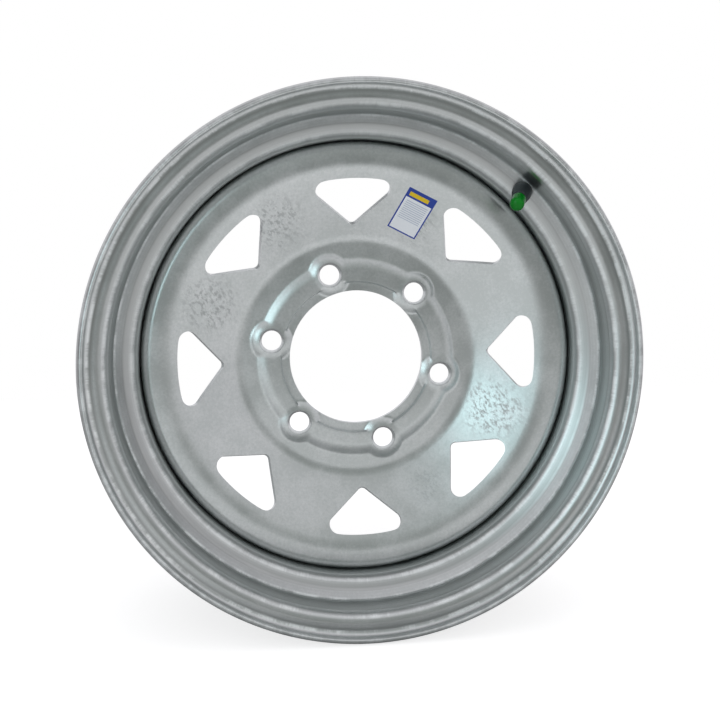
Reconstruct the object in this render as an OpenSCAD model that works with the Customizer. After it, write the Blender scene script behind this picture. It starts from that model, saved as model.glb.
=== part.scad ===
// Pressed-steel spoke wheel rim with a snap-in tyre valve.
// The wheel stands upright: axle along Y, dished face towards -Y, up along +Z.
// The origin lies on the axle line, in the plane of the mounting face and of the rim's middle.
// Each piece is drawn face up, with z along the axle towards the face, and turned upright at the end.

/* [Rim barrel] */
// Bead seat diameter at the flange, tyre side
bead_d = 380.2; // [372:0.2:390]
// Width between the flanges, tyre side
rim_w = 152.4; // [146:0.4:165]
// Flange height above the bead seat
flange_h = 17.3; // [15.5:0.1:20]
// Sheet thickness of the barrel
rim_t = 3; // [2.4:0.1:3.6]
// Outer radius of the rolled flange lip
lip_curl_r = 8; // [7:0.1:9]
// How far the lip curls past its top, in degrees
lip_curl_a = 50; // [20:1:60]
// Corner radius between flange and bead seat, tyre side
heel_r = 6.5; // [5:0.1:7]
// Taper of the bead seats, in degrees
seat_a = 5; // [4:0.5:6]
// Width of each bead seat
seat_w = 18; // [16:0.5:20]
// Height of the safety hump beside each seat
hump_h = 0.9; // [0.5:0.1:1.4]
// Length of each flank of the hump
hump_l = 3.8; // [3.4:0.1:4.6]
// Bend radius of the hump
hump_r = 5; // [4:0.5:6]
// Depth of the drop-centre well below the bead seat
well_depth = 17.3; // [16:0.1:19]
// Slope of the front well wall from the axle direction, in degrees
wall_a = 54; // [50:1:58]
// Bend radius at the top of the front well wall, tyre side
wall_top_r = 6; // [4:0.5:7]
// Bend radius at the foot of the front well wall, tyre side
wall_foot_r = 7; // [5:0.5:8]
// Slope of the rear well ramp from the axle direction, in degrees
ramp_a = 23; // [21:1:27]
// Bend radius at both ends of the rear well ramp
ramp_r = 12; // [8:1:16]
// Length of the ledge between the rear ramp and the rear hump
ledge_l = 8; // [6:0.5:11]

/* [Wheel disc] */
// Sheet thickness of the disc
disc_t = 4.6; // [4:0.1:5.4]
// Radial clearance of the disc's flange in the well
disc_fit = 0.05; // [0.02:0.01:0.1]
// Hub bore diameter
bore_d = 107.95; // [104:0.05:109]
// Radius where the flat hub plate meets the cone
hub_r = 100.1; // [98:0.1:102]
// Bend radius between hub plate and cone, on the face
hub_bend_r = 18; // [14:1:20]
// Slope of the cone from the hub plane, in degrees
cone_a = 28.2; // [26:0.2:30]
// Height of the crest above the mounting face
crest_h = 31.4; // [29:0.1:33]
// Bend radius between cone and crest, on the face
crest_bend_r = 28; // [20:1:30]
// Bend radius between crest and outer flange, on the face
shoulder_r = 12; // [10:0.5:13]
// Height of the outer flange's rear edge above the mounting face
flange_edge_h = 1; // [-1:0.5:4]

/* [Hub emboss] */
// Number of stud holes
stud_count = 6; // [5:1:6]
// Stud circle diameter
stud_pcd = 139.7; // [138:0.1:141]
// Angle of the first stud hole, in degrees
stud_a = -12; // [-30:1:30]
// Stud hole diameter
stud_d = 16; // [14:0.1:17]
// Depth of the conical nut seats
nut_seat_h = 3.2; // [2:0.1:4]
// Half angle of the conical nut seats, in degrees
nut_seat_a = 30; // [25:1:45]
// Height of the raised ring
ring_h = 2.6; // [2:0.1:3]
// Height of the stud bosses
boss_h = 3; // [2.4:0.1:3.4]
// Radial width of the ring's rounded outer flank
ring_flank = 9; // [6:0.1:10]
// Radial width of the ring's inner step
ring_step = 1.6; // [1.2:0.1:4]
// Radial width of the bosses' rounded flanks
boss_flank = 6.5; // [4:0.1:6.8]
// Share of a flank's width that its steep foot takes
foot_share = 0.36; // [0.25:0.01:0.45]
// Share of a flank's height that its steep foot takes
rise_share = 0.66; // [0.5:0.01:0.75]
// Inner foot radius of the raised ring
ring_in_r = 60.2; // [58:0.1:61]
// Outer foot radius of the raised ring
ring_out_r = 80; // [78:0.1:82]
// Foot radius of each stud boss
boss_r = 17; // [16:0.1:18]

/* [Windows] */
// Number of windows
window_count = 8; // [6:1:8]
// Angle of the first window, in degrees
window_a = 2; // [-22:1:22]
// Wheel radius at the windows' rounded inner ends, on the face
window_in_r = 106.4; // [105:0.1:109]
// Wheel radius at the windows' outer edges, on the face
window_out_r = 141.3; // [138:0.1:142]
// Angle of each side from the radial direction, in degrees
window_side_a = 47; // [40:1:48]
// Corner radius at the inner end
window_tip_r = 4; // [3:0.5:6]
// Corner radius at the outer corners
window_corner_r = 8; // [6:0.5:10]

/* [Welds] */
// Number of weld beads between disc and barrel
weld_count = 8; // [4:1:10]
// Length of each bead around the wheel, in degrees
weld_a = 24; // [15:1:28]

/* [Valve] */
// Angle of the valve around the wheel, in degrees
valve_a = 46.8; // [40:0.1:50]
// Valve hole diameter
valve_hole_d = 11.5; // [11:0.1:12]
// Clearance around the rubber body at the hole and both faces of the wall
valve_fit = 0.12; // [0.1:0.01:0.2]
// Diameter of the rubber collar on the face side
collar_d = 15; // [14:0.1:15.5]
// Diameter of the rubber foot on the tyre side
foot_d = 17.6; // [16:0.1:18]
// Length of the rubber foot
foot_l = 10.5; // [8:0.1:12]
// Length of the rubber body on the face side
body_l = 15; // [13:0.1:17]
// Diameter of the rubber body at its free end
body_end_d = 11.6; // [10.6:0.1:12.4]
// Thread diameter of the brass stem
stem_d = 7.7; // [7.4:0.1:8]
// Length of the brass stem beyond the rubber
stem_l = 11.6; // [10.6:0.1:14]
// Gap between the neck at the root of the thread and the cap's mouth
neck_gap = 0.2; // [0.1:0.05:0.4]
// Diameter of the brass tube inside the rubber
tube_d = 6.4; // [6:0.1:6.8]
// Air passage diameter of the stem
air_d = 3.4; // [3.2:0.1:3.6]
// Diameter of the core thread in the stem
core_d = 5.2; // [5:0.1:5.4]

/* [Valve core] */
// Depth of the core thread below the stem's end
core_thread_l = 6.5; // [6:0.1:7.5]
// Thickness of the core gasket
gasket_t = 0.6; // [0.4:0.1:0.8]
// How far the core sits below the stem's end
core_recess = 0.7; // [0.4:0.1:1]
// Length of the core housing below its thread
housing_l = 7; // [6:0.1:8]
// Outer diameter of the core housing below its thread
housing_d = 2.9; // [2.8:0.1:3]
// Inner diameter of the core housing
housing_bore_d = 2.1; // [2:0.05:2.2]
// Thickness of the housing's lower wall
housing_floor = 1; // [0.8:0.1:1.2]
// Diameter of the core pin
pin_d = 1.1; // [0.9:0.05:1.1]
// Running clearance around the pin
pin_fit = 0.08; // [0.05:0.01:0.1]
// Diameter of the seal cup at the pin's foot
cup_d = 2.7; // [2.4:0.1:2.8]
// Thickness of the pin's seal
pin_seal_t = 0.8; // [0.6:0.1:1]
// Wire diameter of the core spring
spring_wire = 0.24; // [0.16:0.02:0.26]
// Number of turns of the core spring
spring_turns = 8; // [6:1:10]

/* [Valve cap] */
// Outer diameter of the cap
cap_d = 10.8; // [10:0.1:11.4]
// Gap between the rubber body and the cap
cap_gap = 1.2; // [0.8:0.1:1.6]
// Running clearance between cap and stem thread
cap_fit = 0.08; // [0.04:0.01:0.1]
// Thickness of the seal in the cap
cap_seal_t = 1.2; // [0.8:0.1:1.4]
// Thickness of the cap's closed end
cap_end_t = 1.5; // [1.2:0.1:2]
// Rounding radius of the cap's closed end
cap_round_r = 4.2; // [2:0.1:4.6]

/* [Label] */
// Width of the label
label_w = 24.6; // [20:0.1:28]
// Length of the label along the cone
label_l = 37; // [30:0.1:37.4]
// Distance across the wheel between the hub's bend and the label
label_gap = 2; // [1:0.1:4]
// Angle of the label around the wheel, in degrees
label_a = 69.5; // [66:0.1:72]
// Turn of the label from the radial direction, in degrees
label_turn = -6.3; // [-12:0.1:12]
// Thickness of the label
label_t = 0.15; // [0.1:0.01:0.3]

/* [Hidden] */
$fn = 96;
wheel_fn = 180;
// Largest turn between two points of an arc, in degrees
arc_step = 9;
// Overlap that lets a cut pass through the face it starts from
cut = 1;
// Gap left between pieces that only touch
touch = 0.03;

bead_r = bead_d / 2;
lip_r = bead_r + flange_h;
flange_z = rim_w / 2;
well_r = bead_r - well_depth;
barrel_in_r = well_r - rim_t;
seat_end_z = flange_z - seat_w;
seat_end_r = bead_r - seat_w * tan(seat_a);
hump_z = seat_end_z - hump_l;
wall_top_z = hump_z - hump_l;
wall_foot_z = wall_top_z - (seat_end_r - well_r) / tan(wall_a);
ramp_top_z = ledge_l - hump_z;
ramp_foot_z = ramp_top_z + (seat_end_r - well_r) / tan(ramp_a);

bore_r = bore_d / 2;
disc_r = barrel_in_r - disc_fit;
crest_foot_r = hub_r + (crest_h - disc_t) / tan(cone_a);
stud_circle_r = stud_pcd / 2;
boss_top = disc_t + boss_h;
// Depth of the ring's and bosses' roots in the plate
emboss_root = disc_t / 2;

stem_end = body_l + stem_l;
valve_hole_r = valve_hole_d / 2;
core_ledge = stem_end - core_thread_l;
core_top = stem_end - core_recess;
core_shoulder = core_ledge + gasket_t;
housing_end = core_shoulder - housing_l;
spring_foot = housing_end + housing_floor;
pin_tip = stem_end - core_recess / 2;
pin_collar_t = 0.6;
pin_collar_top = core_top - 1;
cup_top = housing_end - touch - pin_seal_t;
cup_t = 1;
cap_start = body_l + cap_gap;
neck_end = cap_start - neck_gap;
cap_bore_end = stem_end + touch + cap_seal_t;
cap_end = cap_bore_end + cap_end_t;
hub_bend_end_r = hub_r + hub_bend_r * tan(cone_a / 2) * cos(cone_a);
label_r = hub_bend_end_r + label_gap + label_l / 2 * cos(cone_a);

// Outlines: a corner is [x, y, bend radius]

function unit(v) = v / norm(v);
function flat(c) = [c[0], c[1]];
function leftward(v) = [-v[1], v[0]];
function turned(a, b) = a[0] * b[1] - a[1] * b[0];

// Points of the arc that rounds corner c between its neighbours a and b
function bend(a, c, b) =
    c[2] == 0 ? [flat(c)] :
    let (back = unit(flat(a) - flat(c)),
         on = unit(flat(b) - flat(c)),
         half = acos(back * on) / 2,
         middle = flat(c) + unit(back + on) * c[2] / sin(half),
         first = flat(c) + back * c[2] / tan(half) - middle,
         from = atan2(first[1], first[0]),
         sweep = (180 - 2 * half) * sign(turned(-back, on)),
         steps = ceil(abs(sweep) / arc_step))
    [for (i = [0:steps]) middle + c[2] * [cos(from + sweep * i / steps), sin(from + sweep * i / steps)]];

// An open path and a closed outline with every corner rounded
function rounded_path(c) = let (last = len(c) - 1)
    [flat(c[0]), for (i = [1:last - 1]) each bend(c[i - 1], c[i], c[i + 1]), flat(c[last])];
function rounded_outline(c) = let (n = len(c))
    [for (i = [0:n - 1]) each bend(c[(i + n - 1) % n], c[i], c[(i + 1) % n])];

// The path moved sideways to its right by t, with bend radii that keep the sheet's thickness
function moved_right(c, t) = let (last = len(c) - 1)
    [for (i = [0:last])
        let (into = unit(flat(c[max(i, 1)]) - flat(c[max(i, 1) - 1])),
             out = unit(flat(c[min(i, last - 1) + 1]) - flat(c[min(i, last - 1)])),
             side = leftward(into) + leftward(out),
             shift = side / (1 + into * out))
        concat(flat(c[i]) - shift * t, c[i][2] == 0 ? 0 : c[i][2] + t * sign(turned(into, out)))];

// Half circle that closes the end of a sheet from point a to point b
function round_end(a, b) = let (middle = (a + b) / 2, arm = a - middle, steps = ceil(180 / arc_step))
    [for (i = [1:steps - 1]) let (w = 180 * i / steps)
        middle + [arm[0] * cos(w) + arm[1] * sin(w), arm[1] * cos(w) - arm[0] * sin(w)]];

function reversed(p) = [for (i = [len(p) - 1:-1:0]) p[i]];
function mirrored(c) = [for (p = reversed(c)) [p[0], -p[1], p[2]]];

// Places

module upright() {
    rotate([90, 0, 0]) children();
}

module around(count, first) {
    for (i = [0:count - 1]) rotate([0, 0, first + i * 360 / count]) children();
}

// On the cone's face at wheel radius r, with x up the slope and z out of the face
module on_cone(r) {
    translate([r, 0, disc_t + (r - hub_r) * tan(cone_a)]) rotate([0, -cone_a, 0]) children();
}

// On the front well wall where the valve sits, with z along the valve towards its cap
module at_valve() {
    top_run = wall_top_r * tan((90 - wall_a) / 2);
    foot_run = wall_foot_r * tan(wall_a / 2);
    wall_l = (seat_end_r - well_r) / sin(wall_a);
    along = (top_run + wall_l - foot_run) / 2;
    r = seat_end_r - along * sin(wall_a) - rim_t * cos(wall_a);
    z = wall_top_z - along * cos(wall_a) + rim_t * sin(wall_a);
    upright() rotate([0, 0, valve_a]) translate([r, 0, z]) rotate([0, wall_a - 90, 0]) children();
}

// Rim barrel: one rolled sheet from lip to lip

module rim_barrel() {
    curl_r = lip_r - lip_curl_r;
    curl_z = flange_z + lip_curl_r;
    half = [
        [curl_r + lip_curl_r * cos(lip_curl_a), curl_z + lip_curl_r * sin(lip_curl_a), 0],
        [lip_r, curl_z + lip_curl_r * tan(lip_curl_a / 2), lip_curl_r],
        [lip_r, flange_z, lip_curl_r],
        [bead_r, flange_z, heel_r],
        [seat_end_r, seat_end_z, hump_r],
        [seat_end_r + hump_h, hump_z, hump_r]];
    well = [
        [seat_end_r, wall_top_z, wall_top_r],
        [well_r, wall_foot_z, wall_foot_r],
        [well_r, ramp_foot_z, ramp_r],
        [seat_end_r, ramp_top_z, ramp_r]];
    path = concat(half, well, mirrored(half));
    tyre_side = rounded_path(path);
    inner_side = reversed(rounded_path(moved_right(path, rim_t)));
    rear_end = round_end(tyre_side[len(tyre_side) - 1], inner_side[0]);
    front_end = round_end(inner_side[len(inner_side) - 1], tyre_side[0]);
    color("darkgray") difference() {
        upright() rotate_extrude($fn = wheel_fn) polygon(concat(tyre_side, rear_end, inner_side, front_end));
        at_valve() translate([0, 0, -2 * rim_t]) cylinder(h = 3 * rim_t, d = valve_hole_d);
    }
}

// Wheel disc: pressed plate with a dished cone, a raised hub and windows

module disc_sheet() {
    path = [
        [bore_r, disc_t, 0],
        [hub_r, disc_t, hub_bend_r],
        [crest_foot_r, crest_h, crest_bend_r],
        [disc_r, crest_h, shoulder_r],
        [disc_r, flange_edge_h, 0]];
    face = rounded_path(path);
    back = reversed(rounded_path(moved_right(path, disc_t)));
    rotate_extrude($fn = wheel_fn) polygon(concat(face, back));
}

// Section of a flank with a steep foot, carried on into the plate, and a gentle crown
function flank(foot_r, run, h) =
    let (steep = run * foot_share, rise = h * rise_share)
    [[foot_r - emboss_root * steep / rise, disc_t - emboss_root],
     [foot_r + steep, disc_t + rise],
     [foot_r + run, disc_t + h]];

module raised_ring() {
    inner = flank(ring_in_r, ring_step, ring_h);
    outer = flank(ring_out_r, -ring_flank, ring_h);
    rotate_extrude($fn = wheel_fn) polygon(concat(inner, reversed(outer)));
}

module stud_bosses() {
    side = flank(boss_r, -boss_flank, boss_h);
    axis = [[0, side[0][1]], [0, side[2][1]]];
    around(stud_count, stud_a) translate([stud_circle_r, 0, 0])
        rotate_extrude() polygon(concat([axis[0]], side, [axis[1]]));
}

module stud_hole() {
    mouth_r = stud_d / 2 + (nut_seat_h + cut) * tan(nut_seat_a);
    translate([0, 0, -cut]) cylinder(h = boss_top + 2 * cut, d = stud_d);
    translate([0, 0, boss_top - nut_seat_h]) cylinder(h = nut_seat_h + cut, r1 = stud_d / 2, r2 = mouth_r);
}

// Window outline on the unrolled cone, with x measured from the cone's own tip
module window_outline() {
    tip = window_in_r / cos(cone_a) - window_tip_r * (1 / sin(window_side_a) - 1);
    arc_r = window_out_r / cos(cone_a);
    side_l = sqrt(pow(arc_r, 2) - pow(tip * sin(window_side_a), 2)) - tip * cos(window_side_a);
    corner_a = asin(side_l * sin(window_side_a) / arc_r);
    // The outer edge is an arc about the axle, with its points this many degrees apart
    edge_step = corner_a / 6;
    edge = [for (i = [-5:5]) [arc_r * cos(i * edge_step), arc_r * sin(i * edge_step), 0]];
    corner = arc_r * [cos(corner_a), sin(corner_a)];
    polygon(rounded_outline(concat(
        [[tip, 0, window_tip_r], [corner[0], -corner[1], window_corner_r]],
        [for (i = [2:len(edge) - 3]) edge[i]],
        [[corner[0], corner[1], window_corner_r]])));
}

module window_cut() {
    middle_r = (window_in_r + window_out_r) / 2;
    on_cone(middle_r) translate([-middle_r / cos(cone_a), 0, -2 * disc_t])
        linear_extrude(height = 4 * disc_t) window_outline();
}

module wheel_disc() {
    color("silver") upright() difference() {
        union() {
            disc_sheet();
            raised_ring();
            stud_bosses();
        }
        translate([0, 0, -disc_t]) raised_ring();
        translate([0, 0, -disc_t]) stud_bosses();
        translate([0, 0, -cut]) cylinder(h = boss_top + 2 * cut, r = bore_r, $fn = wheel_fn);
        around(stud_count, stud_a) translate([stud_circle_r, 0, 0]) stud_hole();
        around(window_count, window_a) window_cut();
    }
}

// Weld beads in the corner between the disc's rear edge and the barrel, thinner at both ends

module weld_run(angle, r) {
    round = [for (a = [180:arc_step:270]) [barrel_in_r + r * cos(a), flange_edge_h + r * sin(a)]];
    rotate([0, 0, -angle / 2]) rotate_extrude(angle = angle, $fn = wheel_fn)
        polygon(concat([[barrel_in_r, flange_edge_h]], round));
}

module disc_welds() {
    end_a = 1;
    color("dimgray") upright() around(weld_count, window_a) {
        weld_run(weld_a - 2 * end_a, disc_t);
        weld_run(weld_a, disc_t * 0.7);
    }
}

// Snap-in valve: rubber body on a brass stem, a core with a sprung pin, and a cap

module valve_body() {
    outline = [
        [tube_d / 2, -rim_t - foot_l, 0],
        [foot_d / 2 - 3, -rim_t - foot_l, 1.5],
        [foot_d / 2, -rim_t - foot_l / 3, 1.5],
        [foot_d / 2, -rim_t - valve_fit, 1.8],
        [valve_hole_r - valve_fit, -rim_t - valve_fit, 0],
        [valve_hole_r - valve_fit, valve_fit, 0],
        [collar_d / 2, valve_fit, 0.5],
        [collar_d / 2, body_l / 3, 2],
        [body_end_d / 2, body_l, 1],
        [tube_d / 2, body_l, 0]];
    color("darkslategray") at_valve() rotate_extrude() polygon(rounded_outline(outline));
}

module valve_stem() {
    neck_r = (stem_d + 1.4) / 2;
    tip_bevel = 0.5;
    outline = [
        [air_d / 2, -foot_l],
        [tube_d / 2, -foot_l],
        [tube_d / 2, body_l + touch],
        [neck_r, body_l + touch],
        [neck_r, (body_l + neck_end) / 2],
        [stem_d / 2, neck_end],
        [stem_d / 2, stem_end - tip_bevel],
        [stem_d / 2 - tip_bevel, stem_end],
        [core_d / 2, stem_end],
        [core_d / 2, core_ledge],
        [air_d / 2, core_ledge]];
    color("darkgoldenrod") at_valve() rotate_extrude() polygon(outline);
}

module core_gasket() {
    color("whitesmoke") at_valve() translate([0, 0, core_ledge]) difference() {
        cylinder(h = gasket_t, d = core_d - 2 * pin_fit);
        translate([0, 0, -cut]) cylinder(h = gasket_t + 2 * cut, d = housing_d + 2 * touch);
    }
}

module core_housing() {
    passage_r = pin_d / 2 + pin_fit;
    outline = [
        [passage_r, housing_end],
        [housing_d / 2, housing_end],
        [housing_d / 2, core_shoulder],
        [core_d / 2 - pin_fit, core_shoulder],
        [core_d / 2 - pin_fit, core_top],
        [housing_bore_d / 2, core_top],
        [housing_bore_d / 2, spring_foot],
        [passage_r, spring_foot]];
    color("goldenrod") at_valve() rotate_extrude() polygon(outline);
}

module core_pin() {
    color("lightgray") at_valve() {
        translate([0, 0, cup_top - cup_t]) cylinder(h = cup_t, d = cup_d);
        translate([0, 0, cup_top - cup_t]) cylinder(h = pin_tip - cup_top + cup_t, d = pin_d);
        translate([0, 0, pin_collar_top - pin_collar_t])
            cylinder(h = pin_collar_t, d = housing_bore_d - 2 * pin_fit);
    }
}

module core_seal() {
    color("black") at_valve() translate([0, 0, cup_top]) difference() {
        cylinder(h = pin_seal_t, d = cup_d);
        translate([0, 0, -cut]) cylinder(h = pin_seal_t + 2 * cut, d = pin_d + 2 * touch);
    }
}

// Round wire swept along a helix
module core_spring() {
    sides = 5;
    rings = 10 * spring_turns;
    coil_r = (housing_bore_d + pin_d) / 4;
    low = spring_foot + touch + spring_wire / 2;
    high = pin_collar_top - pin_collar_t - touch - spring_wire / 2;
    points = [for (i = [0:rings], j = [0:sides - 1])
        let (a = 360 * spring_turns * i / rings,
             out = coil_r + spring_wire / 2 * cos(360 * j / sides),
             up = low + (high - low) * i / rings + spring_wire / 2 * sin(360 * j / sides))
        [out * cos(a), out * sin(a), up]];
    wall = [for (i = [0:rings - 1], j = [0:sides - 1])
        let (a = i * sides + j, b = i * sides + (j + 1) % sides)
        each [[a, a + sides, b + sides], [a, b + sides, b]]];
    first = [for (j = [0:sides - 1]) j];
    last = [for (j = [sides - 1:-1:0]) rings * sides + j];
    color("gray") at_valve() polyhedron(points, concat([first, last], wall));
}

module cap_seal() {
    color("black") at_valve() translate([0, 0, stem_end + touch]) cylinder(h = cap_seal_t - touch, d = stem_d);
}

module valve_cap() {
    bore_r = stem_d / 2 + cap_fit;
    outline = [
        [0, cap_bore_end, 0],
        [bore_r, cap_bore_end, 0],
        [bore_r, cap_start, 0],
        [cap_d / 2, cap_start, 0.4],
        [cap_d / 2, cap_end, cap_round_r],
        [0, cap_end, 0]];
    color("green") at_valve() rotate_extrude() polygon(rounded_outline(outline));
}

// Blank paper label wrapped on the cone

module label() {
    out = [-sin(cone_a), cos(cone_a)];
    foot = [hub_r, disc_t] + touch * out;
    head = [crest_foot_r, crest_h] + touch * out;
    color("white") upright() rotate([0, 0, label_a]) intersection() {
        rotate_extrude($fn = wheel_fn) polygon([foot, head, head + label_t * out, foot + label_t * out]);
        on_cone(label_r) rotate([0, 0, label_turn])
            translate([-label_l / 2, -label_w / 2, -disc_t / 2]) cube([label_l, label_w, disc_t]);
    }
}

rim_barrel();
wheel_disc();
disc_welds();
valve_body();
valve_stem();
core_gasket();
core_housing();
core_pin();
core_seal();
core_spring();
cap_seal();
valve_cap();
label();
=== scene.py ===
import math

import bpy
from mathutils import Matrix, Quaternion, Vector


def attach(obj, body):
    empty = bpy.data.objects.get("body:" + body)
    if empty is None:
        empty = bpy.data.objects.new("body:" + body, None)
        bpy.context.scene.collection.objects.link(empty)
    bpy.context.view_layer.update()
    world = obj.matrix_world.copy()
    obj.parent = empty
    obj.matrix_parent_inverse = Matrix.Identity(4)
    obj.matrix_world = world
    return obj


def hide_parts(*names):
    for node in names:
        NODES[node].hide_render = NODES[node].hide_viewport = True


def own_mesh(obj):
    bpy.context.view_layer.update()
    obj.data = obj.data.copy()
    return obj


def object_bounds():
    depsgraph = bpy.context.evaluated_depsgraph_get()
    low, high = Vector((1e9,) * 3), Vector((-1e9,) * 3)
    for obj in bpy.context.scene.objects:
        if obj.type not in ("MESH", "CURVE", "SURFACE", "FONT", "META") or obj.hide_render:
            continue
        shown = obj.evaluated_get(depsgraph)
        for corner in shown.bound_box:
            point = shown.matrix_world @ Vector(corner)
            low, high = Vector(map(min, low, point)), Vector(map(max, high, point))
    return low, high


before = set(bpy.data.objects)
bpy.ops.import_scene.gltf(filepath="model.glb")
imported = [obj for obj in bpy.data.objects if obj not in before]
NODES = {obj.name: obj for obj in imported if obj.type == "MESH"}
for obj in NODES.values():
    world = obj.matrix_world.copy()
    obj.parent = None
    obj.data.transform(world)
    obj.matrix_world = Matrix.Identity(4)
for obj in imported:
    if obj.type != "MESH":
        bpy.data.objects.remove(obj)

bl_info = {
    "name": "Steel wheel rim",
    "version": (1, 0, 0),
    "blender": (4, 5, 0),
    "location": "3D View > Sidebar > Wheel rim",
    "description": "Models and finishes a galvanised steel wheel rim around its packed frame",
    "category": "Object",
}

CAD_BOX = [list(corner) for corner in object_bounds()]
MM = 0.001
WHEEL_BODY = "wheel"
DISC = "pressed_disc"

# The pieces are drawn face up, with z along the axle, and turned upright at the end
UPRIGHT = Matrix.Rotation(math.radians(90), 4, "X")
# Largest turn between two points of a bend, in degrees
BEND_STEP = 7
# Steps of a full turn on the wheel and on the small valve pieces
WHEEL_STEPS = 360
SMALL_STEPS = 64
# Corners sharper than this stay creased when a piece is shaded smooth
CREASE = math.radians(32)
# Longest mesh edges at the step inside the hub's ring, on the hub plate and elsewhere on the disc
STEP_GAP = 0.5 * MM
HUB_GAP = 1.3 * MM
WIDE_GAP = 12 * MM
STUDS = 6
WINDOWS = 8
# Slope of the conical nut seats from their axis
NUT_CONE = math.radians(30)
# How steeply the hub's emboss leaves its foot, and how sharply its ring and bosses meet
FOOT_POWER = 1.7
MEET_POWER = 8
# Sides of the spring's wire, and its steps in one turn
WIRE_SIDES = 8
COIL_STEPS = 24
# Width of the camera's sensor in millimetres
SENSOR = 36
# Printed rules that would fit one above the other on the label
RULES_PER_LABEL = 22.0

# Kinds of node that the materials use often
PLACE = "ShaderNodeTexCoord"
SPLIT = "ShaderNodeSeparateXYZ"
NOISE = "ShaderNodeTexNoise"
RANGE = "ShaderNodeMapRange"
MATH = "ShaderNodeMath"
VECTOR = "ShaderNodeVectorMath"
MIX = "ShaderNodeMix"
BUMP = "ShaderNodeBump"
# Settings of a Mix node that blends two colours, and of a range with soft ends
COLOURS = {"output": 2, "data_type": "RGBA"}
SOFT = {"interpolation_type": "SMOOTHSTEP"}


def linear(code):
    """Linear red, green and blue of an sRGB hex colour."""
    parts = [int(code[i:i + 2], 16) / 255 for i in (1, 3, 5)]
    return [c / 12.92 if c <= 0.04045 else ((c + 0.055) / 1.055) ** 2.4 for c in parts]


def length(name, description, millimetres):
    """A length property with its default given in millimetres."""
    return bpy.props.FloatProperty(name=name, description=description, default=millimetres * MM,
                                   unit="LENGTH", precision=5)


def angle(name, description, degrees):
    """An angle property with its default given in degrees."""
    return bpy.props.FloatProperty(name=name, description=description, default=math.radians(degrees),
                                   subtype="ANGLE")


def wattage(name, description, watts):
    """A power property with its default given in watts."""
    return bpy.props.FloatProperty(name=name, description=description, default=watts, unit="POWER")


def colour(name, description, code):
    """A colour property with its default given as an sRGB hex value."""
    return bpy.props.FloatVectorProperty(name=name, description=description, default=linear(code),
                                         subtype="COLOR", min=0, max=1)


class BarrelSizes(bpy.types.PropertyGroup):
    """Sizes of the rolled barrel, tyre side unless named otherwise."""
    bead_radius: length("Bead seat radius", "Radius of the bead seats at the flanges", 190.1)
    width: length("Rim width", "Width between the flanges", 152.4)
    flange_height: length("Flange height", "Height of the flanges above the bead seats", 17.3)
    sheet: length("Sheet", "Thickness of the barrel's sheet", 3)
    curl: length("Lip curl", "Outer radius of the rolled lips", 8)
    curl_past: angle("Curl past the top", "How far a lip curls past its top", 50)
    heel: length("Heel", "Corner radius between flange and bead seat", 6.5)
    seat_width: length("Seat width", "Width of each bead seat", 18)
    seat_taper: angle("Seat taper", "Taper of the bead seats", 5)
    hump_height: length("Hump height", "Height of the safety humps", 0.9)
    hump_flank: length("Hump flank", "Length of each flank of a hump", 3.8)
    hump_bend: length("Hump bend", "Bend radius of the humps", 5)
    well_depth: length("Well depth", "Depth of the well below the bead seats", 17.3)
    wall_slope: angle("Wall slope", "Slope of the front well wall from the axle direction", 54)
    wall_top_bend: length("Wall top bend", "Bend radius at the top of the front well wall", 6)
    wall_foot_bend: length("Wall foot bend", "Bend radius at the foot of the front well wall", 7)
    wall_sag: length("Wall sag", "How far the front well wall sags at half its height", 1.3)
    wall_round: length("Wall rounding", "Bend radius at half the height of the front well wall", 14)
    ramp_slope: angle("Ramp slope", "Slope of the rear well ramp", 23)
    ramp_bend: length("Ramp bend", "Bend radius at both ends of the rear ramp", 12)
    ledge: length("Ledge", "Length between the rear ramp and the rear hump", 8)


class DiscSizes(bpy.types.PropertyGroup):
    """Sizes of the pressed disc, on its face unless named otherwise."""
    sheet: length("Sheet", "Thickness of the disc's sheet", 4.6)
    outer_radius: length("Outer radius", "Outer radius of the flange inside the well", 169.75)
    bore_radius: length("Bore radius", "Radius of the hub bore", 53.975)
    hub_radius: length("Hub radius", "Radius where the hub plate meets the cone", 95.2)
    hub_bend: length("Hub bend", "Bend radius between hub plate and cone", 18)
    cone_slope: angle("Cone slope", "Slope of the cone from the hub plane", 26.03)
    crest_height: length("Crest height", "Height of the crest above the mounting face", 31.4)
    crest_bend: length("Crest bend", "Bend radius between cone and crest", 28)
    shoulder: length("Shoulder", "Bend radius between crest and flange", 9)
    flange_edge: length("Flange edge", "Height of the flange's rear edge", 1)
    stud_circle: length("Stud circle", "Radius of the stud circle", 69.85)
    stud_start: angle("Stud start", "Angle of the first stud hole", -12)
    stud_radius: length("Stud hole", "Radius of the stud holes", 8)
    nut_seat: length("Nut seat", "Depth of the conical nut seats", 3.2)
    ring_height: length("Ring height", "Height of the raised ring", 2.6)
    boss_height: length("Boss height", "Height of the stud bosses", 3)
    ring_flank: length("Ring flank", "Width of the ring's rounded outer flank", 9)
    ring_step: length("Ring step", "Width of the ring's inner step", 1.6)
    boss_flank: length("Boss flank", "Width of the bosses' rounded flanks", 8)
    ring_inner: length("Ring inner foot", "Inner foot radius of the raised ring", 60.2)
    ring_outer: length("Ring outer foot", "Outer foot radius of the raised ring", 80)
    boss_radius: length("Boss radius", "Foot radius of the stud bosses", 17)
    window_start: angle("Window start", "Angle of the first window", 2)
    window_inner: length("Window inner end", "Wheel radius at a window's inner end", 106.4)
    window_outer: length("Window outer edge", "Wheel radius at a window's outer edge", 141.3)
    window_side: angle("Window side", "Angle of a window's sides from the radial direction", 47)
    window_tip: length("Window tip", "Corner radius at a window's inner end", 4)
    window_corner: length("Window corner", "Corner radius at a window's outer corners", 8)


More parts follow.
